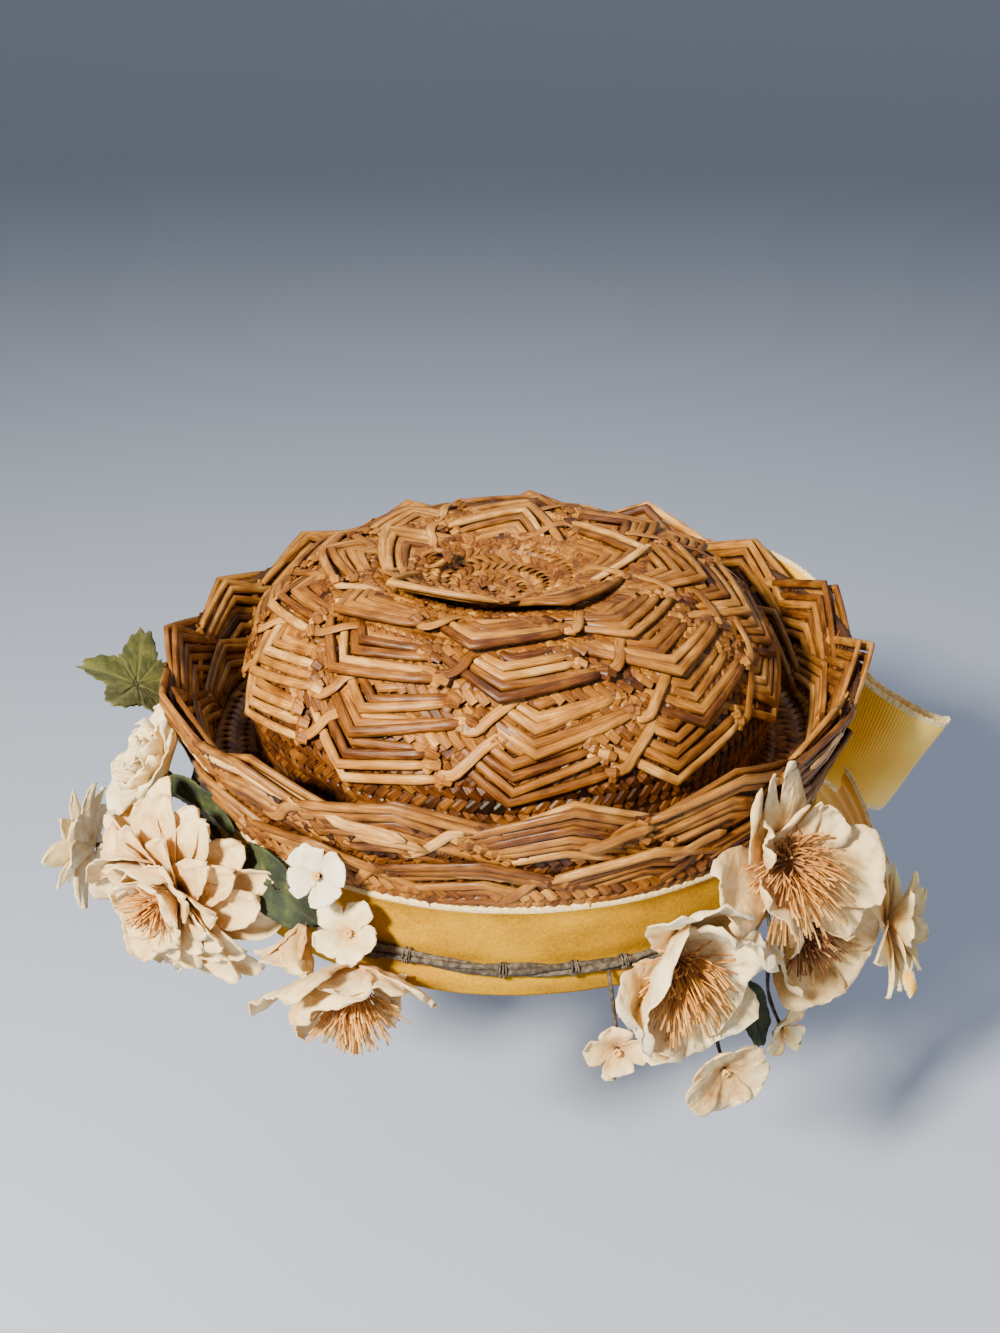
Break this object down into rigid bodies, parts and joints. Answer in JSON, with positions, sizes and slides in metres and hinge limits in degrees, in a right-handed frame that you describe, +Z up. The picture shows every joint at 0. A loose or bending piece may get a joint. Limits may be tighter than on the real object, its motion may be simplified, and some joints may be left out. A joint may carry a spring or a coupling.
{
  "type": "flower-trimmed straw bonnet with turned-up brim",
  "caption": "Low-crowned straw bonnet with a turned-up pointed brim, yellow velvet ribbon band and bow, and a wired garland of silk flowers.",
  "frame": {"origin": "centre of the head opening, in the plane of the ribbon band's lower edge", "axes": "+Z up through the crown, front of the bonnet towards -Y, wearer's left towards +X"},
  "size_m": [0.3099, 0.2504, 0.1367],
  "materials": {
    "straw": "natural wheat straw plait, satin",
    "velvet": "yellow velvet ribbon with a pale picot selvage",
    "stem": "grey-brown paper and thread bound on wire",
    "petal": "cream and tan silk petals, matte",
    "stamen": "stiffened orange-tan thread",
    "leaf": "olive and dark green cloth leaves",
    "bud": "off-white waxed buds"
  },
  "bodies": {
    "root": {"crown": "straw", "brim": "straw", "velvet_band": "velvet", "bow_loop": "velvet", "bow_knot": "velvet", "ribbon_tail": "velvet", "garland_stem": "stem", "dahlia_left": "petal", "daisy_far_left": "petal", "rose_left": "petal", "blossom_left": "petal", "blossom_crumpled": "petal", "bell_left": "petal", "poppy_left": "petal", "poppy_front": "petal", "poppy_upper": "petal", "poppy_lower": "petal", "blossom_low_left": "petal", "blossom_low": "petal", "blossom_low_right": "petal", "daisy_right": "petal", "poppy_left_stamens": "stamen", "poppy_front_stamens": "stamen", "poppy_upper_stamens": "stamen", "poppy_lower_stamens": "stamen", "leaf_lobed": "leaf", "leaf_dark_upper": "leaf", "leaf_dark_lower": "leaf", "leaf_right": "leaf", "bud_left": "bud", "bud_right": "bud"}
  },
  "joints": []
}
